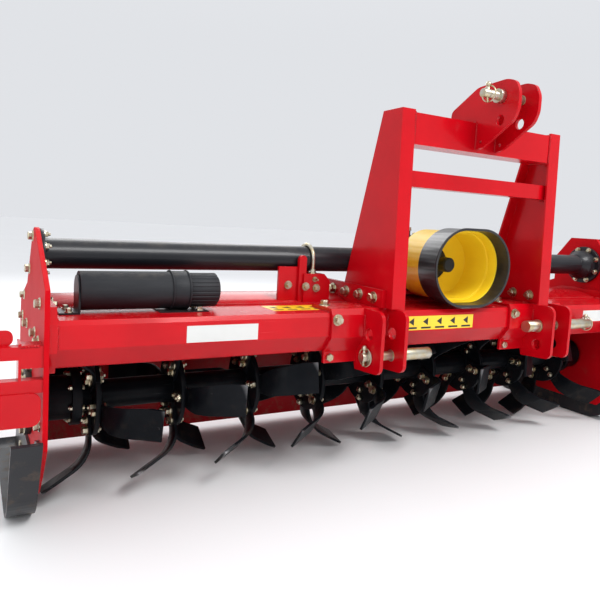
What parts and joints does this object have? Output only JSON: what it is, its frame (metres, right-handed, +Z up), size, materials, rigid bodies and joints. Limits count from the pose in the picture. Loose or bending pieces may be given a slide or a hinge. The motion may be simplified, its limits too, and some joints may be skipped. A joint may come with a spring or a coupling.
{
  "type": "rotary tiller",
  "caption": "Three-point-linkage rotary tiller: bladed rotor under a curved hood, side drive case, cross tube and gearbox, offset headstock, shielded input shaft, skids and a hinged rear board.",
  "frame": {"origin": "middle of the machine's length and depth, on the ground under the skids", "axes": "+X along the rotor to the side drive case, -Y towards the tractor, +Z up"},
  "size_m": [2.654, 0.872, 1.2573],
  "materials": {
    "red_paint": "glossy bright red enamel on folded and welded steel",
    "red_board": "red enamel, dulled by soil on the rear board",
    "black_paint": "satin black paint",
    "black_cast": "black painted casting with a fine cast grain",
    "black_rotor": "black dipped steel with bright worn edges",
    "black_plastic": "black moulded plastic with a faint grain",
    "black_rubber": "black flexible band",
    "yellow_plastic": "smooth yellow moulding",
    "bare_steel": "turned steel with a film of oil",
    "zinc_plate": "yellowish zinc plated steel"
  },
  "bodies": {
    "body": {"end_plate_left": "red_paint", "end_plate_right": "red_paint", "beam": "red_paint", "hood": "red_paint", "beam_caps": "red_paint", "rear_rail": "red_paint", "cross_tube_left": "black_paint", "cross_tube_right": "black_paint", "gearbox": "black_cast", "gearbox_mount": "red_paint", "pto_shield": "yellow_plastic", "shield_band": "black_rubber", "upright_left": "red_paint", "upright_right": "red_paint", "top_crossbar": "red_paint", "mid_crossbar": "red_paint", "headstock_seats": "red_paint", "top_link_plates": "red_paint", "top_link_pin": "zinc_plate", "hitch_base_left": "red_paint", "clevis_plates_left": "red_paint", "hitch_base_right": "red_paint", "clevis_plates_right": "red_paint", "hitch_pin_left": "zinc_plate", "hitch_pin_right": "zinc_plate", "tube_stay": "red_paint", "tube_clamp": "zinc_plate", "canister": "black_plastic", "canister_cap": "black_plastic", "canister_feet": "black_paint", "side_drive_case": "red_paint", "side_drive_cover": "red_paint", "bearing_housing": "black_cast", "board_rod": "zinc_plate", "board_lugs": "red_paint", "skid_left": "black_paint", "skid_right": "black_paint", "guard_left": "red_paint", "guard_right": "red_paint", "pin_bushes": "zinc_plate"},
    "rotor": {"rotor_shaft": "black_rotor", "rotor_flanges": "black_rotor", "rotor_blades": "black_rotor"},
    "input": {"pto_shaft": "bare_steel"},
    "board": {"rear_board": "red_board"}
  },
  "joints": [
    {"name": "rotor_spin", "type": "hinge", "parent": "body", "child": "rotor", "pos_m": [0, 0.045, 0.265], "axis": [1, 0, 0], "continuous": true},
    {"name": "input_spin", "type": "hinge", "parent": "body", "child": "input", "pos_m": [0.175, -0.103, 0.673], "axis": [0, 1, 0], "continuous": true},
    {"name": "board_swing", "type": "hinge", "parent": "body", "child": "board", "pos_m": [0, 0.345, 0.36], "axis": [1, 0, 0], "range_deg": [0, 65]}
  ],
  "couplings": [
    {"joint": "input_spin", "follows": "rotor_spin", "ratio": 2.4}
  ]
}
